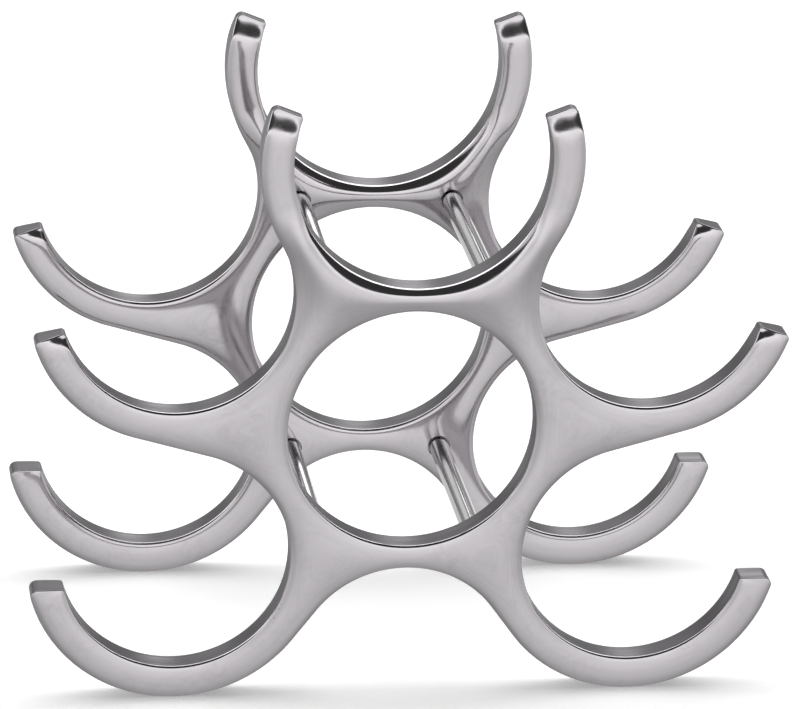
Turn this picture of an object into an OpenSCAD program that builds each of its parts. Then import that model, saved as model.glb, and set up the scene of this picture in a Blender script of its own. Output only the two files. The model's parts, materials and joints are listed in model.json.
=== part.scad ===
// Six-bottle wine rack: two identical cast panels held apart by four round rods.
// Each panel is a closed ring with five open cradles and an arch packed round it.
// The rack stands on z = 0. X is its width, Y runs from the front panel to the rear one,
// Z is up, and the origin is on the floor under the middle of the rack.

/* [Openings] */
// Radius of the closed ring in the middle
ring_r = 45; // [42:0.5:54]
// Radius of the cradle above the ring
top_r = 46; // [42:0.5:52]
// Radius of the two cradles beside the ring, above its middle
side_r = 41.5; // [38:0.5:48]
// Radius of the two cradles beside the ring, below its middle
foot_r = 41.5; // [38:0.5:48]
// Radius of the arch under the ring
arch_r = 40; // [36:0.5:44]

/* [Walls] */
// Height of the bars above and below the ring
bar_w = 8.8; // [7:0.1:14]
// Wall between the ring and the two upper side cradles
side_wall = 11.8; // [8:0.1:16]
// Wall between the ring and the two lower side cradles
foot_wall = 10.8; // [8:0.1:16]
// Width of the arms of the top cradle and of the two upper side cradles
arm_w = 11.5; // [8:0.1:15]
// Width of the arms that the rack stands on
foot_w = 12.3; // [8:0.1:16]

/* [Angles] */
// Slope of the line from the ring's middle up to an upper side cradle
side_angle = 30; // [27:0.5:33]
// Slope of the line from the ring's middle down to a lower side cradle
foot_angle = 30.5; // [27:0.5:33]
// How far the top cradle's arms rise past its middle
top_end = 21.5; // [0:0.5:30]
// How far below the middle of their cradle the upper side arms end
side_end = 16; // [5:0.5:30]
// How far below the middle of their cradle the arms that the rack stands on end
foot_end = 13; // [5:0.5:30]
// Slope of the cut across the ends of those arms, level at 0
foot_cut = 0; // [-15:1:5]

/* [Depth] */
// Distance between the middle planes of the two panels
panel_pitch = 114.5; // [80:0.5:180]
// Depth of the flat walls inside the cradles and round the outline
wall_t = 9; // [7:0.5:14]
// Height of the domed faces above the flat walls
crown_h = 1.2; // [0.6:0.1:3]
// Steps that each domed face is built from
crown_steps = 2; // [1:1:4]
// Height ground off under the arms so that the rack stands without rocking
foot_flat = 0.2; // [0.1:0.1:1]

/* [Rods] */
// Diameter of the rods
rod_d = 7.5; // [5:0.5:10]
// Distance from the ring's wall to the middle of a rod
rod_land = 13; // [11:0.5:15]
// How far the rods sit below the middles of their webs
rod_sag = 1.7; // [0:0.1:2]
// Gap round a rod where it enters its seat
seat_gap = 0.5; // [0.3:0.1:1.5]
// Diameter of the threaded end that holds a rod in the front panel
thread_d = 4; // [3:0.5:4.5]
// Length of that threaded end
thread_len = 8; // [5:0.5:8.5]
// Depth left free past the end of each thread
thread_relief = 0.5; // [0.2:0.1:1]

/* [Screws] */
// Thread diameter of the countersunk screws behind the rear panel
screw_d = 3; // [2.5:0.5:4]
// Length of screw that grips inside a rod
screw_grip = 9; // [6:0.5:16]
// Gap round a screw where it passes through the rear panel
screw_gap = 0.3; // [0.1:0.1:0.5]
// Width across the flats of the screw's hexagon socket
socket_w = 2; // [1.5:0.5:2.5]
// Depth of that socket
socket_depth = 1.2; // [0.8:0.1:2]

/* [Hidden] */
$fn = 120;

// Middles of the openings, measured from the ring's middle, on the right-hand side
top_c = [0, ring_r + bar_w + top_r];
side_c = (ring_r + side_wall + side_r) * [cos(side_angle), sin(side_angle)];
foot_c = (ring_r + foot_wall + foot_r) * [cos(foot_angle), -sin(foot_angle)];
arch_c = [0, -(ring_r + bar_w + arch_r)];

// The ring's middle stands this high above the floor
ring_z = foot_r + foot_w - foot_c[1] - foot_flat;

// Middle plane of each panel, and the plane on each that the rods seat against
front_y = -panel_pitch / 2;
rear_y = panel_pitch / 2;
front_seat_y = front_y + wall_t / 2;
rear_seat_y = rear_y - wall_t / 2;
panel_half_t = wall_t / 2 + crown_h;

// The dome is an arc over the width of an arm
crown_r = (pow(arm_w / 2, 2) + pow(crown_h, 2)) / (2 * crown_h);

// Countersunk heads are twice as wide as the thread, with a right-angled cone
head_d = 2 * screw_d;
head_h = (head_d - screw_d) / 2;
rear_face_y = rear_y + panel_half_t;

// Far enough to cut right through or clear of anything
past = 1;
wedge_reach = 3 * (top_r + arm_w);

// Straight joins bite this far into the round edges they meet, so that they cross them cleanly
join_bite = 0.15;
// The arms start this many degrees inside the web
arm_root = 12;

function heading(a) = [cos(a), sin(a)];
function slope_of(v) = atan2(v[1], v[0]);

// Ends of the straight line that runs off an opening with middle a and radius ra,
// and on to the outside of the next arm, which has middle b and outer radius rb
function join(a, ra, b, rb) =
    let (gap = norm(b - a),
         share = min(1, 0.998 * gap / (ra + rb - 2 * join_bite)),
         opening = share * (ra - join_bite),
         arm = share * (rb - join_bite),
         out = heading(slope_of(b - a) + acos((opening + arm) / gap)))
    [a + opening * out, b - arm * out];

function top_join(inset) = join(side_c, side_r + inset, top_c, top_r + arm_w - inset);
function side_join(inset) = join(foot_c, foot_r + inset, side_c, side_r + arm_w - inset);
function foot_join(inset) = join(arch_c, arch_r + inset, foot_c, foot_r + foot_w - inset);

// How far the edge of the dome has come in at height h above the flat wall
function crown_inset(h) = arm_w / 2 - sqrt(pow(crown_r, 2) - pow(crown_r - crown_h + h, 2));

// Everything inside the joins, out to the middles of the openings round the ring
module web(inset) {
    right = concat(foot_join(inset), [foot_c], side_join(inset), [side_c], top_join(inset));
    left = [for (i = [len(right) - 1 : -1 : 0]) [-right[i][0], right[i][1]]];
    polygon(concat([arch_c], right, [top_c], left));
}

// Slice of a disc round middle c, from where its join touches it to the arm's end.
// The end is cut at slope cut, through the middle of the arm at angle stop.
module slice(c, r, width, touch, stop, cut, inset) {
    from = slope_of(touch - c) - arm_root;
    apex = (r - width / 2) * (heading(stop) - heading(cut)) + inset * heading(cut - 90);
    intersection() {
        translate(c) circle(r = r - inset);
        translate(c) polygon([apex, wedge_reach * heading(from),
                              wedge_reach * heading((from + cut) / 2), apex + wedge_reach * heading(cut)]);
    }
}

// Solid outline before the openings are cut. Its edges move in by the inset.
module filled(inset) {
    web(inset);
    for (side = [0, 1]) mirror([side, 0]) {
        slice(top_c, top_r + arm_w, arm_w, top_join(inset)[1], top_end, top_end, inset);
        slice(side_c, side_r + arm_w, arm_w, side_join(inset)[1], -side_end, -side_end, inset);
        slice(foot_c, foot_r + foot_w, foot_w, foot_join(inset)[1], -foot_end, foot_cut, inset);
    }
}

module outline(inset = 0) {
    difference() {
        filled(inset);
        circle(r = ring_r + inset);
        translate(top_c) circle(r = top_r + inset);
        translate(arch_c) circle(r = arch_r + inset);
        for (side = [0, 1]) mirror([side, 0]) {
            translate(side_c) circle(r = side_r + inset);
            translate(foot_c) circle(r = foot_r + inset);
        }
    }
}

// A length of the outline, upright, with its middle plane at y
module slab(y, depth, inset = 0) {
    translate([0, y + depth / 2, ring_z]) rotate([90, 0, 0])
        linear_extrude(height = depth) outline(inset);
}

// Flat-walled casting with a stepped dome on both faces, without its holes
module casting(y) {
    difference() {
        union() {
            slab(y, wall_t);
            for (i = [1 : crown_steps]) {
                slab(y, wall_t + 2 * crown_h * i / crown_steps,
                     crown_inset(crown_h * (i - 0.5) / crown_steps));
            }
        }
        translate([-wedge_reach, y - wall_t, -wedge_reach])
            cube([2 * wedge_reach, 2 * wall_t, wedge_reach]);
    }
}

// A cylinder along Y from y0 to y1, on the line of the rod at p
module along_y(p, y0, y1, d) {
    translate([p[0], y0, p[1]]) rotate([-90, 0, 0]) cylinder(h = y1 - y0, d = d);
}

// Place of a rod in the XZ plane. The webs are half-way between neighbouring openings.
function rod_at(side, upper) =
    let (web_angle = upper ? (90 + side_angle) / 2 : -(90 + foot_angle) / 2,
         web = (ring_r + rod_land) * heading(web_angle))
    [side * web[0], ring_z + web[1] - rod_sag];
all_rods = [for (side = [-1, 1], upper = [false, true]) rod_at(side, upper)];

module front_panel() {
    color("silver") difference() {
        casting(front_y);
        for (p = all_rods) {
            along_y(p, front_seat_y, front_seat_y + crown_h + past, rod_d + 2 * seat_gap);
            along_y(p, front_seat_y - thread_len - thread_relief, front_seat_y + past, thread_d);
        }
    }
}

module rear_panel() {
    color("silver") difference() {
        casting(rear_y);
        for (p = all_rods) {
            along_y(p, rear_seat_y - crown_h - past, rear_seat_y, rod_d + 2 * seat_gap);
            along_y(p, rear_seat_y - past, rear_face_y + past, screw_d + 2 * screw_gap);
            translate([p[0], rear_face_y - head_h, p[1]]) rotate([-90, 0, 0])
                cylinder(h = head_h + past, d1 = screw_d, d2 = head_d + 2 * past);
        }
    }
}

module rod(p) {
    color("gainsboro") difference() {
        union() {
            along_y(p, front_seat_y, rear_seat_y, rod_d);
            along_y(p, front_seat_y - thread_len, front_seat_y + past, thread_d);
        }
        along_y(p, rear_seat_y - screw_grip - thread_relief, rear_seat_y + past, screw_d);
    }
}

module screw(p) {
    color("dimgray") difference() {
        union() {
            along_y(p, rear_seat_y - screw_grip, rear_face_y - head_h + past / 2, screw_d);
            translate([p[0], rear_face_y - head_h, p[1]]) rotate([-90, 0, 0])
                cylinder(h = head_h, d1 = screw_d, d2 = head_d);
        }
        translate([p[0], rear_face_y - socket_depth, p[1]]) rotate([-90, 0, 0])
            cylinder(h = socket_depth + past, d = socket_w / cos(30), $fn = 6);
    }
}

module rod_upper_left() { rod(rod_at(-1, true)); }
module rod_upper_right() { rod(rod_at(1, true)); }
module rod_lower_left() { rod(rod_at(-1, false)); }
module rod_lower_right() { rod(rod_at(1, false)); }
module screw_upper_left() { screw(rod_at(-1, true)); }
module screw_upper_right() { screw(rod_at(1, true)); }
module screw_lower_left() { screw(rod_at(-1, false)); }
module screw_lower_right() { screw(rod_at(1, false)); }

front_panel();
rear_panel();
rod_upper_left();
rod_upper_right();
rod_lower_left();
rod_lower_right();
screw_upper_left();
screw_upper_right();
screw_lower_left();
screw_lower_right();
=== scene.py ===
import json
import math

import bmesh
import bpy
import numpy as np
from mathutils import Matrix, Vector
from mathutils.geometry import delaunay_2d_cdt


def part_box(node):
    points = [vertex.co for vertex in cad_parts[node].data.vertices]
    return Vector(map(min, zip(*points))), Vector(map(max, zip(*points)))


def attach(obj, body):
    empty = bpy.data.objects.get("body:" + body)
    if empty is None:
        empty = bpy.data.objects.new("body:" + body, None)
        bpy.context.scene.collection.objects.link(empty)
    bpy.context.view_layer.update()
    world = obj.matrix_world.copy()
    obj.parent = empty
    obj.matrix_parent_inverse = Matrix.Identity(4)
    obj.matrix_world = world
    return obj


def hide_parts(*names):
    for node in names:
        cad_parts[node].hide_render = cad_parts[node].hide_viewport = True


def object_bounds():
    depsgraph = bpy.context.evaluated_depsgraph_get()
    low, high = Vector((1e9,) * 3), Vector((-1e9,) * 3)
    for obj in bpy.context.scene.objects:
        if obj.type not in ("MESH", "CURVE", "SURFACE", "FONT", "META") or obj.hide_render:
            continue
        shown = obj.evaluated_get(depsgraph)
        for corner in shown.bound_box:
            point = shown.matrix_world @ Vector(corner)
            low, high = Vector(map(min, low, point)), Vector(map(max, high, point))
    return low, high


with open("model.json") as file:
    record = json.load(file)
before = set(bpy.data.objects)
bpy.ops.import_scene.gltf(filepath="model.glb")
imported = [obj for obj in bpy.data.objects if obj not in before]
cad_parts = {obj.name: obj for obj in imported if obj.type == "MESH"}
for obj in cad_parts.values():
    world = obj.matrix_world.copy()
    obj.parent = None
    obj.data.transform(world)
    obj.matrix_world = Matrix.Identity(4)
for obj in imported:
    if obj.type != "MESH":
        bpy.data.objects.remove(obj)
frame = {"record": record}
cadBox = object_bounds()
print("frame loaded, box in mm", [[round(v * 1000, 1) for v in corner] for corner in cadBox])

mm = 0.001  # the panel's outline is worked out in millimetres round the ring's middle


def heading(angle):
    return np.array([math.cos(math.radians(angle)), math.sin(math.radians(angle))])


def slopeOf(v):
    return math.degrees(math.atan2(v[1], v[0]))


def mountOf(name):
    return [m for m in frame["record"]["mounts"] if m["name"] == name][0]


def boxMiddle(node):
    low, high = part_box(node)
    return [(a + b) / 2 for a, b in zip(low, high)]


# what a user would change on the panels' outline, in mm and degrees
outlineSettings = {
    "topRadius": 46.0,
    "sideRadius": 41.5,
    "footRadius": 41.5,
    "archRadius": 40.0,
    "barWidth": 8.8,
    "sideWall": 11.8,
    "footWall": 10.8,
    "armWidth": 11.5,
    "footWidth": 12.3,
    "sideAngle": 30.0,
    "footAngle": 30.5,
    "topEnd": 21.5,
    "sideEnd": -16.0,
    "footEnd": -13.0,
    "footCut": 0.0,              # the foot arms' ends are cut level
    "topCorners": (1.1, 2.6),    # rounding of an arm's end, at the cradle and on the outside
    "sideCorners": (1.3, 2.0),
    "footCorners": (1.1, 2.8),
    "step": 1.0,                 # spacing of points along the outline
    "cornerStep": 0.35,
}
ringMount = mountOf("bottle_ring")
ringRadius = ringMount["dims"]["r_mm"]
ringHeight = ringMount["pos_m"][2]

shape = outlineSettings
topMiddle = np.array([0, ringRadius + shape["barWidth"] + shape["topRadius"]])
sideMiddle = (ringRadius + shape["sideWall"] + shape["sideRadius"]) * heading(shape["sideAngle"])
footMiddle = (ringRadius + shape["footWall"] + shape["footRadius"]) * heading(-shape["footAngle"])
archMiddle = np.array([0, -(ringRadius + shape["barWidth"] + shape["archRadius"])])


# angle on the opening a where the straight line across to the arm round b leaves it
def joinAngle(a, openingRadius, b, armRadius):
    gap = np.linalg.norm(b - a)
    return slopeOf(b - a) + math.degrees(math.acos(min(1, (openingRadius + armRadius) / gap)))


# points of an arc without its last one, and their directions into the metal
def arc(middle, radius, start, stop, metalOutside, step):
    count = max(3, round(abs(math.radians(stop - start)) * radius / step))
    angles = np.radians(np.linspace(start, stop, count, endpoint=False))
    out = np.stack([np.cos(angles), np.sin(angles)], 1)
    return middle + radius * out, out if metalOutside else -out


def line(a, b, inward, step):
    count = max(1, round(np.linalg.norm(b - a) / step))
    share = np.linspace(0, 1, count, endpoint=False)[:, None]
    return a + share * (b - a), np.repeat(inward[None], count, 0)


# the end of an arm: two rounded corners and the short straight cut between them. The cut runs
# at its own slope through the middle of the arm.
def armEnd(middle, innerRadius, outerRadius, end, cut, corners):
    inner, outer = corners
    fine = shape["cornerStep"]
    innerReach, outerReach = innerRadius + inner, outerRadius - outer
    under = (innerRadius + outerRadius) / 2 * math.sin(math.radians(cut - end))
    innerAt = cut - math.degrees(math.asin((under + inner) / innerReach))
    outerAt = cut - math.degrees(math.asin((under + outer) / outerReach))
    innerMiddle = middle + innerReach * heading(innerAt)
    outerMiddle = middle + outerReach * heading(outerAt)
    parts = [
        arc(innerMiddle, inner, innerAt + 180, cut + 90, False, fine),
        line(innerMiddle + inner * heading(cut + 90), outerMiddle + outer * heading(cut + 90),
             heading(cut - 90), shape["step"]),
        arc(outerMiddle, outer, cut + 90, outerAt, False, fine),
    ]
    return parts, innerAt, outerAt


# right-hand half of the outline, from the bottom of the top cradle round to the top of the arch
def rightHalf():
    step = shape["step"]
    topEnd, sideEnd = shape["topEnd"], shape["sideEnd"] + 360
    footEnd, footCut = shape["footEnd"] + 360, shape["footCut"] + 360
    cradles = [  # middle, radius, width of the arm, its end, the slope of the cut and the corners
        (topMiddle, shape["topRadius"], shape["armWidth"], topEnd, topEnd, shape["topCorners"]),
        (sideMiddle, shape["sideRadius"], shape["armWidth"], sideEnd, sideEnd, shape["sideCorners"]),
        (footMiddle, shape["footRadius"], shape["footWidth"], footEnd, footCut, shape["footCorners"]),
        (archMiddle, shape["archRadius"], 0, 90, 90, None),
    ]
    parts, start = [], -90
    for cradle, following in zip(cradles, cradles[1:] + [None]):
        middle, radius, width, end, cut, corners = cradle
        if following is None:
            parts.append(arc(middle, radius, start, end, True, step))
            break
        cap, innerStop, outerStart = armEnd(middle, radius, radius + width, end, cut, corners)
        leave = joinAngle(following[0], following[1], middle, radius + width)
        outerStop = leave + 180
        while outerStop > outerStart:
            outerStop -= 360
        parts.append(arc(middle, radius, start, innerStop, True, step))
        parts += cap
        parts.append(arc(middle, radius + width, outerStart, outerStop, False, step))
        parts.append(line(middle - (radius + width) * heading(leave),
                          following[0] + following[1] * heading(leave), heading(leave), step))
        start = leave
    return np.concatenate([p for p, n in parts]), np.concatenate([n for p, n in parts])


def panelLoops():
    points, inward = rightHalf()
    flip = np.array([-1, 1])
    archTop = archMiddle + np.array([[0, shape["archRadius"]]])
    points = np.concatenate([points, archTop, points[:0:-1] * flip])
    inward = np.concatenate([inward, [[0, 1]], inward[:0:-1] * flip])
    # the metal lies to the left of both loops as they are walked
    outer = (points[::-1], inward[::-1])
    ring = arc(np.zeros(2), ringRadius, 90, -270, True, shape["step"])
    return [outer, ring]


loops = panelLoops()
edgeFrom = np.concatenate([p for p, n in loops])
edgeTo = np.concatenate([np.roll(p, -1, 0) for p, n in loops])
print("outline made,", len(edgeFrom), "points")

# what a user would change on the panels' section, in mm
sectionSettings = {
    "wallDepth": 9.0,           # flat ground walls
    "crownSlope": 0.14,         # gentle rise of the polished faces away from the walls
    "edgeRise": 0.62,           # quick rise where the mop has rolled the edges over
    "edgeReach": 0.62,
    "cradleSlope": 0.56,        # extra slope along the bottom of the top cradle
    "cradleReach": 11.0,
    "cradleSide": (0.3, 0.3),   # cosine off straight down where it starts, and over how much it grows
    "rollEase": 1.2,            # the faces are ground back towards the end of an arm
    "rollFlick": 2.4,           # and less so again over the last of it
    "flickShare": 0.6,
    "topRoll": (0.43, 8.6, 0.0),    # slope, length, and how much shorter per mm off the cradle
    "sideRoll": (0.42, 6.2, 0.75),
    "footRoll": (0.0, 8.0, 0.0),
    "plainEnd": 1.6,            # the edges are left crisp this close to the end of an arm
    "wallSkip": 0.02,           # points on a wall are measured this far in from it
    "holeWall": 0.6,            # share of the walls' finish inside the holes
    "boresMeet": 0.5,           # the two ends of a through hole are joined this near the middle
    "gridStep": 1.5,            # spacing of points inside the faces
    "gridSpare": 0.55,          # steps that the grid stays off the loose rings
    "holeSpare": 0.4,           # and off the holes
    "looseRings": [1.75, 2.7],  # rows of points that follow the walls inside the last ring
    "looseSpare": 0.97,         # a loose point that is nearer than this to another wall is left out
    "rings": [  # distance in from the wall, how far under the sharp edge, share of wall in the normal
        (0.0, 0.34, 1.0),
        (0.06, 0.14, 0.55),
        (0.24, 0.03, 0.15),
        (0.55, 0.0, 0.0),
        (1.0, 0.0, 0.0),
    ],
}
section = sectionSettings

armEnds = [
    (topMiddle, shape["topRadius"], shape["armWidth"], shape["topEnd"], section["topRoll"]),
    (sideMiddle, shape["sideRadius"], shape["armWidth"], shape["sideEnd"], section["sideRoll"]),
    (footMiddle, shape["footRadius"], shape["footWidth"], shape["footEnd"], section["footRoll"]),
]


# points are measured a few hundred at a time, which keeps the arrays small
def batches(points):
    return [slice(first, first + 400) for first in range(0, len(points), 400)]


# A smooth stand-in for the distance to the nearest wall, from the mean of one over the distance
# in every direction. It is d(1 - d / w) across a straight bar of width w, and fuller over a web.
def wallDistance(points):
    found = np.empty(len(points))
    for batch in batches(points):
        at = points[batch, None]
        a, b = edgeFrom[None] - at, edgeTo[None] - at
        la, lb = np.hypot(a[..., 0], a[..., 1]), np.hypot(b[..., 0], b[..., 1])
        cross = a[..., 0] * b[..., 1] - a[..., 1] * b[..., 0]
        span = la * lb + a[..., 0] * b[..., 0] + a[..., 1] * b[..., 1]
        found[batch] = 2 / (cross / span * (1 / la + 1 / lb)).sum(1)
    return found


# how far the faces have been ground back towards the middle plane near the end of an arm, and
# how much of the edges' rounding is left out there
def nearEnds(points):
    drop, plain = np.zeros(len(points)), np.zeros(len(points))
    folded = np.abs(points[:, 0])
    ease = section["rollEase"]
    for middle, innerRadius, width, end, (slope, length, bias) in armEnds:
        dx, dz = folded - middle[0], points[:, 1] - middle[1]
        radius = innerRadius + width / 2
        before = (end - np.degrees(np.arctan2(dz, dx)) + 180) % 360 - 180
        along = np.radians(before) * radius
        near = (np.abs(np.hypot(dx, dz) - radius) < width) & (along < 2 * length) & (along > -width)
        late = along[near] + bias * np.clip(np.hypot(dx, dz)[near] - innerRadius, 0, width)
        steep = np.logaddexp(0, (length - late) / ease)
        flick = np.logaddexp(0, (section["rollFlick"] - late) / ease)
        drop[near] = slope * ease * (steep - section["flickShare"] * flick)
        plain[near] = np.exp(-(along[near] / section["plainEnd"]) ** 2)
    return drop, plain


# 1 along the bottom of the top cradle, fading away from it and up its sides
def cradleShare(points):
    away = points - topMiddle
    distance = np.hypot(*away.T) - shape["topRadius"]
    start, span = section["cradleSide"]
    lower = np.clip((-away[:, 1] / np.hypot(*away.T) - start) / span, 0, 1)
    return lower ** 2 * (3 - 2 * lower) / (1 + (distance / section["cradleReach"]) ** 2)


# height of the polished face above the panel's middle plane, in mm
def faceHeight(points):
    distance = wallDistance(points)
    drop, plain = nearEnds(points)
    edge = section["edgeRise"] * (1 - np.exp(-distance / section["edgeReach"]) * (1 - plain))
    slope = section["crownSlope"] + section["cradleSlope"] * cradleShare(points)
    return section["wallDepth"] / 2 + edge + slope * distance - drop


def heightAndSlope(points):
    reach = 0.01
    across, up = np.array([reach, 0]), np.array([0, reach])
    slope = np.stack([
        (faceHeight(points + across) - faceHeight(points - across)) / (2 * reach),
        (faceHeight(points + up) - faceHeight(points - up)) / (2 * reach),
    ], 1)
    return faceHeight(points), slope


# rods and screws give the holes their places and sizes
corners = ["upper_left", "upper_right", "lower_left", "lower_right"]
rodSettings = {
    "seatGap": 0.5,      # round a rod where it enters its seat
    "threadRadius": 2.0,
    "threadLength": 8.0,
    "threadRelief": 0.5,
    "mouthBreak": 0.15,  # broken edge round each seat
    "floorBreak": 0.03,  # and at the bottom of it
    "endBreak": 0.3,     # at the rods' ends
    "tapBreak": 0.2,     # round the tapped hole in a rod's end
    "sides": 48,
}
screwSettings = {
    "clearRadius": 1.8,
    "threadRadius": 1.5,
    "tipBreak": 0.3,
    "headGap": 0.12,     # round a head in its countersink
    "headRim": 0.02,     # straight part of a head's edge
    "sinkBreak": 0.1,    # broken edge round a countersink
    "throatBreak": 0.05,
    "socketRadius": 1.155,
    "socketDepth": 1.2,
    "socketPoint": (0.2, 1.25),  # radius and depth of the drill's point, against the socket's
    "edgeBreak": 0.12,
    "sides": 48,
}
sharpAngle = 28  # degrees between two faces of a turned piece from which their edge is shown sharp


def rodSpot(corner):
    x, y, z = boxMiddle("rod_" + corner)
    return np.array([x, z - ringHeight]) / mm


def rodRadius(corner):
    low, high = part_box("rod_" + corner)
    return (high[0] - low[0]) / 2 / mm


def headRadius(corner):
    low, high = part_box("screw_" + corner)
    return (high[0] - low[0]) / 2 / mm


def circle(middle, radius, sides):
    angles = np.linspace(0, 2 * math.pi, sides, endpoint=False)
    return middle + radius * np.stack([np.cos(angles), np.sin(angles)], 1)


def edgeDistance(points):
    found = [np.hypot(*(points[batch, None] - edgeFrom[None]).transpose(2, 0, 1)).min(1)
             for batch in batches(points)]
    return np.concatenate(found)


# how many times the loops go round each point: once inside the metal, never outside
def turns(points, rings):
    split = len(loops[0][0])
    following = np.concatenate([np.roll(part, -1, 0) for part in (rings[:split], rings[split:])])
    total = np.empty(len(points))
    for batch in batches(points):
        at = points[batch, None]
        a, b = rings[None] - at, following[None] - at
        cross = a[..., 0] * b[..., 1] - a[..., 1] * b[..., 0]
        dot = a[..., 0] * b[..., 0] + a[..., 1] * b[..., 1]
        total[batch] = np.arctan2(cross, dot).sum(1) / (2 * math.pi)
    return total


# Points inside the outline: rows that follow the walls, then a grid that is the same on both
# sides of x = 0.
def gridPoints():
    step = section["gridStep"]
    kept = []
    for inset in section["looseRings"]:
        row = np.concatenate([p + inset * n for p, n in loops])
        kept.append(row[edgeDistance(row) > section["looseSpare"] * inset])
    rowStep = step * math.sqrt(3) / 2
    low, high = edgeFrom.min(0), edgeFrom.max(0)
    rows = []
    for row in range(int((high[1] - low[1]) / rowStep) + 1):
        half = np.arange(step / 2 if row % 2 else 0, high[0], step)
        xs = np.concatenate([-half[half > 0], half])
        rows.append(np.stack([xs, np.full(len(xs), low[1] + row * rowStep)], 1))
    points = np.concatenate(rows)
    spare = section["looseRings"][-1] + section["gridSpare"] * step
    points = np.concatenate(kept + [points[edgeDistance(points) > spare]])
    return points[turns(points, edgeFrom) > 0.5]


innerGrid = gridPoints()
print("face grid made,", len(innerGrid), "points")

# heights and slopes are worked out once and shared by both panels' four faces
ringData = []
for inset, below, wallShare in section["rings"]:
    points = np.concatenate([p + max(inset, section["wallSkip"]) * n for p, n in loops])
    height, slope = heightAndSlope(points)
    ringPoints = np.concatenate([p + inset * n for p, n in loops])
    ringData.append((ringPoints, height - below, slope, wallShare, wallDistance(points)))
gridHeight, gridSlope = heightAndSlope(innerGrid)
gridDistance = wallDistance(innerGrid)
print("domed face worked out, highest", round(float(gridHeight.max()), 2), "mm from the middle plane")


# a mesh under construction: the lists that its vertices and faces are read from
def newBuild(middleY):
    return {"middleY": middleY, "places": [], "normals": [], "wall": [], "grain": [], "faces": []}


# where a point on a wall or on a face is in the streaks, which run along the edges. The way along
# a wall is bent into a circle, so that its streaks have no seam.
def wallGrain(loop, offsets):
    lengths = np.linalg.norm(np.roll(loop, -1, 0) - loop, axis=1)
    bend = lengths.sum() / (2 * math.pi)
    turn = np.concatenate([[0], np.cumsum(lengths)[:-1]]) / bend
    return np.stack([bend * np.cos(turn), bend * np.sin(turn), np.broadcast_to(offsets, len(loop))], 1)


def faceGrain(points, distance):
    return np.column_stack([points, distance])


# adds a row of vertices and returns their numbers. Points are in the outline's plane.
def addRow(build, points, offsets, normals, wall, grain):
    first = len(build["places"])
    offsets = np.broadcast_to(offsets, len(points))
    for point, offset in zip(points, offsets):
        # the undersides of the foot arms are ground flat where they would pass through the floor
        height = max(0.0, ringHeight + point[1] * mm)
        build["places"].append((point[0] * mm, build["middleY"] + offset * mm, height))
    build["grain"] += [tuple(g) for g in grain * mm]
    build["normals"] += [tuple(n / np.linalg.norm(n)) for n in normals]
    build["wall"] += [wall] * len(points)
    return list(range(first, first + len(points)))


def bridge(build, rowA, rowB):
    for i, (a, b) in enumerate(zip(rowA, rowB)):
        following = (i + 1) % len(rowA)
        build["faces"].append((a, rowA[following], rowB[following], b))


def faceNormals(slope, side):
    return np.stack([-slope[:, 0], np.full(len(slope), side), -slope[:, 1]], 1)


def outwardNormals(inward):
    return np.stack([-inward[:, 0], np.zeros(len(inward)), -inward[:, 1]], 1)


# The border of one polished face: rings of points that follow the walls and turn from wall to
# face. Returns the first and the last ring of each loop.
def addBorder(build, side):
    walls, last, first = [], [], 0
    for points, inward in loops:
        outward = outwardNormals(inward)
        rows = []
        for ringPoints, heights, slopes, wallShare, distance in ringData:
            part = slice(first, first + len(points))
            flat = faceNormals(slopes[part], side)
            flat /= np.linalg.norm(flat, axis=1)[:, None]
            if wallShare > 0.5:
                grain = wallGrain(points, side * heights[part])
            else:
                grain = faceGrain(ringPoints[part], distance[part])
            rows.append(addRow(build, ringPoints[part], side * heights[part],
                               wallShare * outward + (1 - wallShare) * flat, wallShare, grain))
        for a, b in zip(rows, rows[1:]):
            bridge(build, a, b)
        walls.append(rows[0])
        last.append(rows[-1])
        first += len(points)
    return walls, last


# the edges of a closed row whose first point has the number start
def closedEdges(start, count):
    return [(start + i, start + (i + 1) % count) for i in range(count)]


# The triangles inside a face's border, round any holes. Returns each hole's mouth and heights.
def fillFace(build, side, border, holes):
    flatPoints = list(ringData[-1][0])
    numbers = [n for row in border for n in row]
    edges = []
    for row in border:
        edges += closedEdges(len(edges), len(row))
    mouths = []
    keep = np.ones(len(innerGrid), bool)
    for middle, radius in holes:
        rim = circle(middle, radius, rodSettings["sides"])
        height, slope = heightAndSlope(rim)
        mouth = addRow(build, rim, side * height, faceNormals(slope, side), 0.0,
                       faceGrain(rim, wallDistance(rim)))
        mouths.append((mouth, height))
        edges += closedEdges(len(flatPoints), len(rim))
        flatPoints += list(rim)
        numbers += mouth
        spare = section["holeSpare"] * section["gridStep"]
        keep &= np.hypot(*(innerGrid - middle).T) > radius + spare
    numbers += addRow(build, innerGrid[keep], side * gridHeight[keep],
                      faceNormals(gridSlope[keep], side), 0.0,
                      faceGrain(innerGrid, gridDistance)[keep])
    flatPoints = np.array(flatPoints + list(innerGrid[keep]))
    made = delaunay_2d_cdt([Vector(p) for p in flatPoints], edges, [], 0, 1e-7)
    origin = np.array([o[0] for o in made[3]])
    triangles = origin[np.array([list(t) for t in made[2]])]
    centres = flatPoints[triangles].mean(1)
    inside = turns(centres, ringData[-1][0]) > 0.5
    for middle, radius in holes:
        inside &= np.hypot(*(centres - middle).T) > radius
    build["faces"] += [tuple(numbers[i] for i in t) for t in triangles[inside]]
    return mouths


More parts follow.
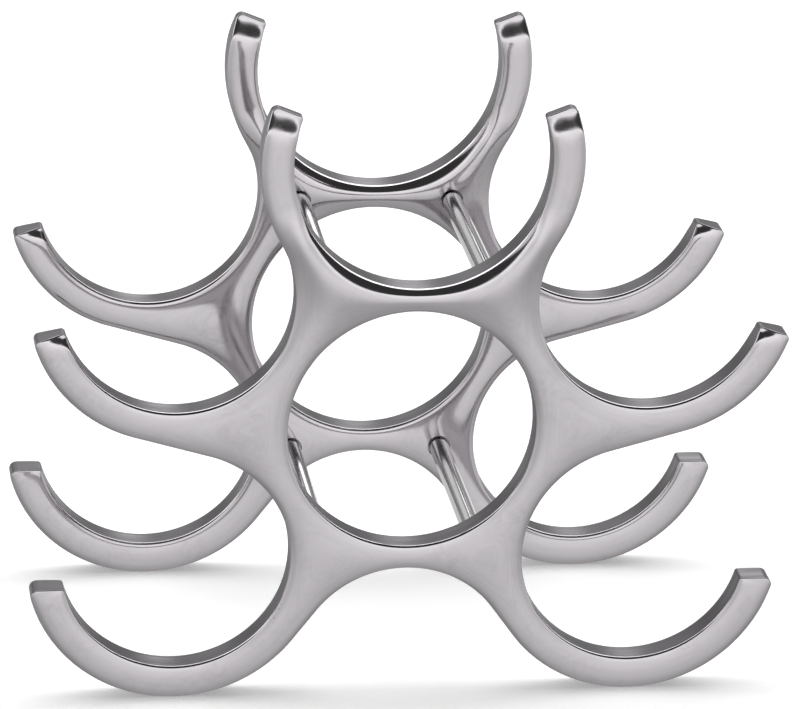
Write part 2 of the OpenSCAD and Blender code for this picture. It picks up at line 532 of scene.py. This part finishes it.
# A round hole's wall from its mouth inwards. Each step is a radius, an offset and how far the
# normal leans towards the mouth: 0 in a bore, half in a cone, 1 on a floor.
def addHole(build, mouth, middle, steps):
    row = mouth
    for radius, offset, lean in steps:
        points = circle(middle, radius, rodSettings["sides"])
        inward = (middle - points) / radius * (1 - abs(lean))
        normals = np.stack([inward[:, 0], np.full(len(points), lean), inward[:, 1]], 1)
        grain = faceGrain(points, np.full(len(points), radius))
        following = addRow(build, points, offset, normals, section["holeWall"], grain)
        bridge(build, row, following)
        row = following
    return row


def finishMesh(name, build):
    mesh = bmesh.new()
    verts = [mesh.verts.new(place) for place in build["places"]]
    for face in build["faces"]:
        mesh.faces.new([verts[i] for i in face])
    bmesh.ops.recalc_face_normals(mesh, faces=mesh.faces)
    openEdges = sum(1 for edge in mesh.edges if len(edge.link_faces) != 2)
    data = bpy.data.meshes.new(name)
    mesh.to_mesh(data)
    mesh.free()
    data.attributes.new("wallMask", "FLOAT", "POINT").data.foreach_set("value", build["wall"])
    grain = np.array(build["grain"], dtype=np.float32)
    data.attributes.new("grainAt", "FLOAT_VECTOR", "POINT").data.foreach_set("vector", grain.ravel())
    data.polygons.foreach_set("use_smooth", [True] * len(data.polygons))
    data.normals_split_custom_set_from_vertices(build["normals"])
    piece = bpy.data.objects.new(name, data)
    bpy.context.scene.collection.objects.link(piece)
    print(name, "has", len(data.vertices), "vertices,", openEdges, "open edges")
    return piece


# a rod's seat, and beyond it the rear panel's clear hole or the front panel's threaded one
def seatSteps(side, radius, height, through):
    depth, edge = section["wallDepth"] / 2, rodSettings["floorBreak"]
    bore = radius - rodSettings["mouthBreak"]
    if through:
        narrow, stop = screwSettings["clearRadius"], section["boresMeet"]
    else:
        narrow = rodSettings["threadRadius"]
        stop = depth - rodSettings["threadLength"] - rodSettings["threadRelief"]
    return [
        (bore, side * (height - rodSettings["mouthBreak"]), 0),
        (bore, side * (depth + edge), 0),
        (bore - edge, side * depth, side),
        (narrow + edge, side * depth, side),
        (narrow, side * (depth - edge), 0),
        (narrow, side * stop, 0),
    ]


# the countersink that takes a screw's head, top mm from the middle plane, and its clear hole
def sinkSteps(side, radius, height, top, head):
    clear, edge = screwSettings["clearRadius"], screwSettings["sinkBreak"]
    throat = top - (head - screwSettings["threadRadius"]) + clear - screwSettings["threadRadius"]
    return [
        (radius - edge, side * (np.minimum(height, top) - edge), 0.5 * side),
        (clear, side * throat, 0.5 * side),
        (clear, side * (throat - screwSettings["throatBreak"]), 0),
        (clear, side * section["boresMeet"], 0),
    ]


# the flat ground walls between the two faces
def addWalls(build, fronts, rears):
    first = 0
    for (points, inward), front, rear in zip(loops, fronts, rears):
        height = ringData[0][1][first:first + len(points)]
        rows = [front]
        for share in (-1 / 3, 1 / 3):
            rows.append(addRow(build, points, share * height, outwardNormals(inward), 1.0,
                               wallGrain(points, share * height)))
        rows.append(rear)
        for a, b in zip(rows, rows[1:]):
            bridge(build, a, b)
        first += len(points)


# A panel, with the rods' seats on one side. The rear panel also has the screws' countersinks on
# the other, and its holes go right through.
def makePanel(name, node, rodSide):
    middleY = boxMiddle(node)[1]
    build = newBuild(middleY)
    through = node == "rear_panel"
    walls, bores = {}, {}
    for side in (-1, 1):
        holes = []
        if side == rodSide:
            gap = rodSettings["seatGap"] + rodSettings["mouthBreak"]
            holes = [(rodSpot(c), rodRadius(c) + gap) for c in corners]
        elif through:
            holes = [(rodSpot(c), headRadius(c) + screwSettings["headGap"]) for c in corners]
        walls[side], border = addBorder(build, side)
        mouths = fillFace(build, side, border, holes)
        for corner, (middle, radius), (mouth, height) in zip(corners, holes, mouths):
            if side == rodSide:
                steps = seatSteps(side, radius, height, through)
            else:
                top = (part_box("screw_" + corner)[1][1] - middleY) / mm
                steps = sinkSteps(side, radius, height, top, headRadius(corner))
            row = addHole(build, mouth, middle, steps)
            if through:
                bores.setdefault(corner, []).append(row)
            else:
                build["faces"].append(tuple(row))
    for near, far in bores.values():
        bridge(build, near, far)
    addWalls(build, walls[-1], walls[1])
    piece = finishMesh(name, build)
    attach(piece, "root")
    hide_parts(node)
    return piece


frontPanel = makePanel("frontPanel", "front_panel", 1)
rearPanel = makePanel("rearPanel", "rear_panel", -1)


# a turned piece along Y. Each row is a radius, or a function of the angle that gives one, and a y.
def makeTurned(name, spot, rows, sides):
    mesh = bmesh.new()
    angles = np.linspace(0, 2 * math.pi, sides, endpoint=False)
    made = []
    for radius, y in rows:
        around = np.array([radius(a) if callable(radius) else radius for a in angles])
        xs, zs = spot[0] + around * np.cos(angles), spot[1] + around * np.sin(angles)
        made.append([mesh.verts.new((x * mm, y, ringHeight + z * mm)) for x, z in zip(xs, zs)])
    for rowA, rowB in zip(made, made[1:]):
        for i in range(sides):
            j = (i + 1) % sides
            mesh.faces.new((rowA[i], rowA[j], rowB[j], rowB[i]))
    mesh.faces.new(made[0])
    mesh.faces.new(made[-1])
    bmesh.ops.recalc_face_normals(mesh, faces=mesh.faces)
    for edge in mesh.edges:
        edge.smooth = edge.calc_face_angle(0) < math.radians(sharpAngle)
    for face in mesh.faces:
        face.smooth = True
    data = bpy.data.meshes.new(name)
    mesh.to_mesh(data)
    mesh.free()
    piece = bpy.data.objects.new(name, data)
    bpy.context.scene.collection.objects.link(piece)
    return piece


def pieceName(kind, corner):
    return kind + corner.title().replace("_", "")


def makeRod(corner):
    node = "rod_" + corner
    front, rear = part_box(node)[0][1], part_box(node)[1][1]
    seat = front + rodSettings["threadLength"] * mm
    radius, thread, ease = rodRadius(corner), rodSettings["threadRadius"], rodSettings["endBreak"]
    tapped, lip = screwSettings["threadRadius"], rodSettings["tapBreak"]
    depth = (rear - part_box("screw_" + corner)[0][1]) + rodSettings["threadRelief"] * mm
    rows = [
        (thread - ease, front), (thread, front + ease * mm), (thread, seat),
        (radius - ease, seat), (radius, seat + ease * mm),
        (radius, rear - ease * mm), (radius - ease, rear),
        (tapped + lip, rear), (tapped, rear - lip * mm), (tapped, rear - depth),
    ]
    piece = makeTurned(pieceName("rod", corner), rodSpot(corner), rows, rodSettings["sides"])
    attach(piece, "root")
    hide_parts(node)
    return piece


def makeScrew(corner):
    node = "screw_" + corner
    low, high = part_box(node)[0][1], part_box(node)[1][1]
    head, thread = headRadius(corner), screwSettings["threadRadius"]
    ease, tip, rim = (screwSettings[k] for k in ("edgeBreak", "tipBreak", "headRim"))
    socket, depth = screwSettings["socketRadius"], screwSettings["socketDepth"]
    pointRadius, pointDepth = screwSettings["socketPoint"]
    flats = socket * math.cos(math.pi / 6)

    # radius of the socket's hexagon, by the angle round it
    def hexagon(grow):
        return lambda a: (flats + grow) / math.cos((a + math.pi / 6) % (math.pi / 3) - math.pi / 6)

    rows = [
        (thread - tip, low), (thread, low + tip * mm), (thread, high - (head - thread) * mm),
        (head, high - rim * mm - ease * mm), (head, high - ease * mm), (head - ease, high),
        (hexagon(ease), high), (hexagon(0), high - ease * mm), (hexagon(0), high - depth * mm),
        (pointRadius * socket, high - pointDepth * depth * mm),
    ]
    piece = makeTurned(pieceName("screw", corner), rodSpot(corner), rows, screwSettings["sides"])
    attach(piece, "root")
    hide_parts(node)
    return piece


rods = [makeRod(corner) for corner in corners]
screws = [makeScrew(corner) for corner in corners]
print("rods and screws made")


# what a user would change on the marks that the materials share
markSettings = {
    "grainDetail": (3.0, 0.65),    # detail and roughness of the fine lines
    "coarseGrain": (0.23, 2.0),    # scale against the fine lines, and detail
    "grainRange": (0.3, 0.7),
    "broadDetail": 2.0,
    "closeScale": 5.0,             # of the closer swirls, against the broad ones
    "closeDetail": (4.0, 0.6),
    "broadRange": (0.35, 0.7),
    "closeRange": (0.3, 0.75),
    "pitRange": (0.32, 0.18),      # from the edge of a pore to its bottom
    "patchEdge": 12.0,             # how sharply a patch of pores ends
}


# node groups: each is built once and placed in the materials with its own values
def newGroup(name, inputs, outputs):
    group = bpy.data.node_groups.new(name, "ShaderNodeTree")
    sockets = group.interface
    for label, kind, value in inputs:
        socket = sockets.new_socket(name=label, in_out="INPUT", socket_type="NodeSocket" + kind)
        if value is not None:
            socket.default_value = value
    for label in outputs:
        sockets.new_socket(name=label, in_out="OUTPUT", socket_type="NodeSocketFloat")
    return group, group.nodes.new("NodeGroupInput").outputs, group.nodes.new("NodeGroupOutput").inputs


def addNode(tree, kind, links=None, **settings):
    node = tree.nodes.new("ShaderNode" + kind)
    for key, value in settings.items():
        setattr(node, key, value)
    for key, value in (links or {}).items():
        if isinstance(value, bpy.types.NodeSocket):
            tree.links.new(value, node.inputs[key])
        else:
            node.inputs[key].default_value = value
    return node


def useGroup(tree, group, links):
    return addNode(tree, "Group", links, node_tree=group).outputs


def mathNode(tree, operation, a, b=0.0, c=None, clamp=False):
    links = {0: a, 1: b} if c is None else {0: a, 1: b, 2: c}
    return addNode(tree, "Math", links, operation=operation, use_clamp=clamp).outputs[0]


def times(tree, a, b):
    return mathNode(tree, "MULTIPLY", a, b)


def mixValue(tree, factor, a, b):
    return addNode(tree, "Mix", {"Factor": factor, 2: a, 3: b}, data_type="FLOAT").outputs[0]


def mixColour(tree, factor, a, b, blend="MIX"):
    links = {"Factor": factor, 6: a, 7: b}
    return addNode(tree, "Mix", links, data_type="RGBA", blend_type=blend).outputs[2]


def ramp(tree, value, low, high, toLow=0.0, toHigh=1.0, course="SMOOTHSTEP"):
    links = {"Value": value, "From Min": low, "From Max": high, "To Min": toLow, "To Max": toHigh}
    return addNode(tree, "MapRange", links, interpolation_type=course).outputs[0]


# fine parallel lines left by a belt or a drawing die
def makeGrainGroup():
    marks = markSettings
    inputs = [("Place", "Vector", None), ("Stretch", "Vector", (1, 1, 1)), ("Breakup", "Float", 0.5)]
    group, given, out = newGroup("workedGrain", inputs, ["Streak"])
    detail, roughness = marks["grainDetail"]
    coarseScale, coarseDetail = marks["coarseGrain"]
    scaled = addNode(group, "VectorMath", {0: given["Place"], 1: given["Stretch"]},
                     operation="MULTIPLY").outputs[0]
    fine = addNode(group, "TexNoise", {"Vector": scaled, "Scale": 1.0, "Detail": detail,
                                       "Roughness": roughness}).outputs[0]
    coarse = addNode(group, "TexNoise", {"Vector": scaled, "Scale": coarseScale,
                                         "Detail": coarseDetail}).outputs[0]
    mixed = mixValue(group, given["Breakup"], fine, coarse)
    group.links.new(ramp(group, mixed, *marks["grainRange"]), out["Streak"])
    return group


# soft swirls left by a polishing mop: an uneven haze and a height that bends reflections a little
def makeBuffGroup():
    marks = markSettings
    inputs = [("Place", "Vector", None), ("Scale", "Float", 30.0), ("Swirl", "Float", 1.5)]
    group, given, out = newGroup("buffMarks", inputs, ["Haze", "Height"])
    detail, roughness = marks["closeDetail"]
    broad = addNode(group, "TexNoise", {"Vector": given["Place"], "Scale": given["Scale"],
                                        "Detail": marks["broadDetail"],
                                        "Distortion": given["Swirl"]}).outputs[0]
    closer = times(group, given["Scale"], marks["closeScale"])
    lines = addNode(group, "TexNoise", {"Vector": given["Place"], "Scale": closer,
                                        "Detail": detail, "Roughness": roughness,
                                        "Distortion": given["Swirl"]}).outputs[0]
    haze = ramp(group, broad, *marks["broadRange"])
    haze = times(group, haze, ramp(group, lines, *marks["closeRange"]))
    group.links.new(haze, out["Haze"])
    group.links.new(broad, out["Height"])
    return group


# small pores that polishing has opened in a casting, in loose patches
def makePitGroup():
    marks = markSettings
    inputs = [("Place", "Vector", None), ("Scale", "Float", 700.0), ("Patches", "Float", 25.0),
              ("Amount", "Float", 0.3)]
    group, given, out = newGroup("castPits", inputs, ["Pit"])
    cells = addNode(group, "TexVoronoi", {"Vector": given["Place"], "Scale": given["Scale"],
                                          "Randomness": 1.0}, feature="F1")
    hole = ramp(group, cells.outputs["Distance"], *marks["pitRange"])
    patch = addNode(group, "TexNoise", {"Vector": given["Place"], "Scale": given["Patches"],
                                        "Detail": 1.0}).outputs[0]
    limit = mathNode(group, "SUBTRACT", 1.0, given["Amount"])
    local = mathNode(group, "MULTIPLY_ADD", mathNode(group, "SUBTRACT", patch, limit),
                     marks["patchEdge"], 0.0, clamp=True)
    group.links.new(times(group, hole, local), out["Pit"])
    return group


grainGroup = makeGrainGroup()
buffGroup = makeBuffGroup()
pitGroup = makePitGroup()


def newMaterial(name):
    material = bpy.data.materials.new(name)
    material.use_nodes = True
    return material, material.node_tree, material.node_tree.nodes["Principled BSDF"]


# depths are in mm, like the height that the bump is given
def addBump(tree, height, shader):
    bump = addNode(tree, "Bump", {"Height": height, "Strength": 1.0, "Distance": mm})
    tree.links.new(bump.outputs[0], shader.inputs["Normal"])


# what a user would change on the castings' finish
castSettings = {
    "faceColour": (0.605, 0.580, 0.602, 1),
    "hazeColour": (0.565, 0.541, 0.563, 1),
    "wallColour": (0.21, 0.202, 0.212, 1),
    "wallStreak": 0.86,            # how dark a streak on a wall is against it
    "wallEdge": (0.35, 0.8),       # where a face turns into a wall
    "pitColour": (0.06, 0.055, 0.055, 1),
    "faceRoughness": (0.07, 0.13),
    "faceStreak": 0.06,            # how much darker and rougher the streaks on the faces are
    "wallRoughness": (0.30, 0.46),
    "pitRoughness": 0.4,
    "stretch": (45, 45, 2600),
    "breakup": 0.45,
    "waveScale": 38.0,
    "waveSwirl": 1.2,
    "waveDepth": 0.03,
    "grainDepth": 0.012,
    "pitDepth": 0.1,
    "pitAmount": 0.25,
}


def makeCastMaterial():
    look = castSettings
    material, tree, shader = newMaterial("castAluminium")
    place = addNode(tree, "TexCoord").outputs["Object"]
    along = addNode(tree, "Attribute", attribute_name="grainAt").outputs["Vector"]
    mask = addNode(tree, "Attribute", attribute_name="wallMask").outputs["Fac"]
    wall = ramp(tree, mask, *look["wallEdge"])
    streak = useGroup(tree, grainGroup, {"Place": along, "Stretch": look["stretch"],
                                         "Breakup": look["breakup"]})["Streak"]
    buff = useGroup(tree, buffGroup, {"Place": place, "Scale": look["waveScale"],
                                      "Swirl": look["waveSwirl"]})
    pit = useGroup(tree, pitGroup, {"Place": place, "Amount": look["pitAmount"]})["Pit"]

    clean = mixColour(tree, buff["Haze"], look["faceColour"], look["hazeColour"])
    lined = times(tree, streak, look["faceStreak"])
    face = mixColour(tree, lined, clean, (0, 0, 0, 1))
    dark = tuple(v * look["wallStreak"] for v in look["wallColour"][:3]) + (1,)
    worn = mixColour(tree, streak, look["wallColour"], dark)
    colour = mixColour(tree, pit, mixColour(tree, wall, face, worn), look["pitColour"])
    tree.links.new(colour, shader.inputs["Base Color"])

    faceRough = ramp(tree, buff["Haze"], 0.0, 1.0, *look["faceRoughness"])
    wallRough = ramp(tree, streak, 0.0, 1.0, *look["wallRoughness"])
    rough = mixValue(tree, wall, mathNode(tree, "ADD", faceRough, lined), wallRough)
    pitRough = times(tree, pit, look["pitRoughness"])
    tree.links.new(mathNode(tree, "ADD", rough, pitRough), shader.inputs["Roughness"])
    shader.inputs["Metallic"].default_value = 1.0

    wave = times(tree, buff["Height"], look["waveDepth"])
    line = times(tree, times(tree, streak, wall), look["grainDepth"])
    dip = times(tree, pit, look["pitDepth"])
    addBump(tree, mathNode(tree, "SUBTRACT", mathNode(tree, "ADD", wave, line), dip), shader)
    return material


# what a user would change on the rods' and the screws' finish
rodFinish = {
    "colour": (0.66, 0.65, 0.655, 1),
    "otherColour": (0.58, 0.57, 0.575, 1),
    "roughness": (0.15, 0.26),
    "stretch": (1400, 25, 1400),
    "grainDepth": 0.006,
}
screwFinish = {
    "colour": (0.30, 0.30, 0.31, 1),
    "otherColour": (0.48, 0.47, 0.47, 1),
    "roughness": (0.22, 0.38),
    "stretch": (900, 900, 900),
    "grainDepth": 0.01,
}
turnedFinish = {"breakup": 0.3, "waveScale": 90.0, "waveSwirl": 0.5}


def makeTurnedMaterial(name, finish):
    look = {**turnedFinish, **finish}
    material, tree, shader = newMaterial(name)
    place = addNode(tree, "TexCoord").outputs["Object"]
    streak = useGroup(tree, grainGroup, {"Place": place, "Stretch": look["stretch"],
                                         "Breakup": look["breakup"]})["Streak"]
    haze = useGroup(tree, buffGroup, {"Place": place, "Scale": look["waveScale"],
                                      "Swirl": look["waveSwirl"]})["Haze"]
    blend = times(tree, haze, streak)
    colour = mixColour(tree, blend, look["colour"], look["otherColour"])
    tree.links.new(colour, shader.inputs["Base Color"])
    tree.links.new(ramp(tree, blend, 0.0, 1.0, *look["roughness"]), shader.inputs["Roughness"])
    shader.inputs["Metallic"].default_value = 1.0
    addBump(tree, times(tree, streak, look["grainDepth"]), shader)
    return material


castMaterial = makeCastMaterial()
rodMaterial = makeTurnedMaterial("drawnRod", rodFinish)
screwMaterial = makeTurnedMaterial("screwSteel", screwFinish)
for pieces, material in (((frontPanel, rearPanel), castMaterial), (rods, rodMaterial),
                         (screws, screwMaterial)):
    for piece in pieces:
        piece.data.materials.append(material)
print("materials made")

# what a user would change on the floor and on the room that the metal reflects
stageSettings = {
    "floorSize": 8.0,
    "floorColour": (0.93, 0.93, 0.93, 1),
    "floorGlow": 0.28,
    "floorRoughness": 0.9,
    "floorGloss": 0.1,
    "bands": [  # degrees up from the horizon in front, where 90 is overhead, and the grey there
        (-60, 0.50), (-37, 0.60), (-20, 0.93), (-3, 1.15), (19, 1.4),  # the pale floor in front
        (22.5, 0.045), (84, 0.045),   # a dark flag above it
        (88, 2.6), (124, 2.6),        # the softbox
        (133, 0.36),                  # the wall behind
    ],
    "paleMiddle": 0.145,              # sideways, where level faces look
    "sideShade": 0.70,                # how much of the light is left on either side of that
    "shadeReach": (0.06, 0.45),
    "shadeTop": (0.25, 0.05),
    "besideGrey": 0.93,               # past the ends of the flag
    "besideReach": (0.8, 0.95),
    "besideTop": (0.18, 0.3),
    "besideFront": (0.1, -0.1),
    "strips": [(0.08, 0.30, 2.0), (-0.34, -0.02, 0.8)],  # soft strips behind: sides and brightness
    "stripEdge": 0.03,
    "stripFoot": (0.16, 0.26),
    "stripFront": (0.3, 0.5),
}


def makeFloor():
    mesh = bmesh.new()
    half = stageSettings["floorSize"] / 2
    bmesh.ops.create_grid(mesh, x_segments=2, y_segments=2, size=half)
    data = bpy.data.meshes.new("floor")
    mesh.to_mesh(data)
    mesh.free()
    floor = bpy.data.objects.new("floor", data)
    bpy.context.scene.collection.objects.link(floor)
    material, tree, shader = newMaterial("paleFloor")
    shader.inputs["Base Color"].default_value = stageSettings["floorColour"]
    shader.inputs["Roughness"].default_value = stageSettings["floorRoughness"]
    shader.inputs["Specular IOR Level"].default_value = stageSettings["floorGloss"]
    shader.inputs["Emission Color"].default_value = (1, 1, 1, 1)
    shader.inputs["Emission Strength"].default_value = stageSettings["floorGlow"]
    data.materials.append(material)
    floor.visible_glossy = False  # the metal sees the room's own pale floor instead


def grey(brightness):
    return (brightness,) * 3 + (1,)


# The room is painted by direction: bands from the floor in front up and over to the wall behind,
# shaded to the sides, and two tall soft strips on that wall.
def makeRoom():
    room = bpy.data.worlds.new("room")
    room.use_nodes = True
    bpy.context.scene.world = room
    tree = room.node_tree
    look = stageSettings
    seen = addNode(tree, "TexCoord").outputs["Generated"]
    x, y, z = addNode(tree, "SeparateXYZ", {0: seen}).outputs

    # below the horizon the angle is the same all round
    degree = 180 / math.pi
    above = times(tree, mathNode(tree, "ARCTAN2", z, times(tree, y, -1.0)), degree)
    below = times(tree, mathNode(tree, "ARCSINE", z), degree)
    angle = mixValue(tree, mathNode(tree, "GREATER_THAN", z, 0.0), below, above)
    lowest, highest = -90, 180
    bands = addNode(tree, "ValToRGB", {0: ramp(tree, angle, lowest, highest, course="LINEAR")})
    elements = bands.color_ramp.elements
    while len(elements) < len(look["bands"]):
        elements.new(0.5)
    for element, (up, brightness) in zip(elements, look["bands"]):
        element.position = (up - lowest) / (highest - lowest)
        element.color = grey(brightness)

    aside = mathNode(tree, "ABSOLUTE", mathNode(tree, "SUBTRACT", x, look["paleMiddle"]))
    shade = times(tree, ramp(tree, aside, *look["shadeReach"]), ramp(tree, z, *look["shadeTop"]))
    dimmed = mixColour(tree, 1.0, bands.outputs[0], grey(look["sideShade"]), "MULTIPLY")
    painted = mixColour(tree, shade, bands.outputs[0], dimmed)
    zone = times(tree, ramp(tree, z, *look["besideTop"]), ramp(tree, y, *look["besideFront"]))
    beside = times(tree, ramp(tree, aside, *look["besideReach"]), zone)
    painted = mixColour(tree, beside, painted, grey(look["besideGrey"]))
    behind = times(tree, ramp(tree, z, *look["stripFoot"]), ramp(tree, y, *look["stripFront"]))
    soft = look["stripEdge"]
    for left, right, brightness in look["strips"]:
        strip = times(tree, ramp(tree, x, left, left + soft), ramp(tree, x, right, right - soft))
        painted = mixColour(tree, times(tree, strip, behind), painted, grey(brightness))
    back = tree.nodes["Background"]
    tree.links.new(painted, back.inputs["Color"])
    back.inputs["Strength"].default_value = 1.0


makeFloor()
makeRoom()
print("floor and room made")

viewSettings = {
    "azimuth": -8.946,      # degrees that the camera stands to the left of straight ahead
    "elevation": 20.546,
    "roll": 2.558,
    "distance": 1.7158,
    "focalLength": 210.2,
    "sensorWidth": 36,
    "target": (0.0021, -0.0118, 0.0010),  # from the middle of the rack, in metres
    "farthest": 30,
}


def makeCamera():
    view = viewSettings
    around, above, tip = (math.radians(view[k]) for k in ("azimuth", "elevation", "roll"))
    flat = math.cos(above)
    ahead = Vector((-math.sin(around) * flat, math.cos(around) * flat, -math.sin(above)))
    level = ahead.cross(Vector((0, 0, 1))).normalized()
    upright = level.cross(ahead)
    right = level * math.cos(tip) + upright * math.sin(tip)
    up = upright * math.cos(tip) - level * math.sin(tip)
    middle = (Vector(cadBox[0]) + Vector(cadBox[1])) / 2
    camera = bpy.data.objects.new("camera", bpy.data.cameras.new("camera"))
    camera.data.lens = view["focalLength"]
    camera.data.sensor_width = view["sensorWidth"]
    camera.data.clip_end = view["farthest"]
    spot = middle + Vector(view["target"]) - ahead * view["distance"]
    turned = Matrix((right, up, -ahead)).transposed().to_4x4()
    camera.matrix_world = Matrix.Translation(spot) @ turned
    bpy.context.scene.collection.objects.link(camera)
    bpy.context.scene.camera = camera


makeCamera()
bpy.context.scene.view_settings.view_transform = "Standard"
print("camera made")
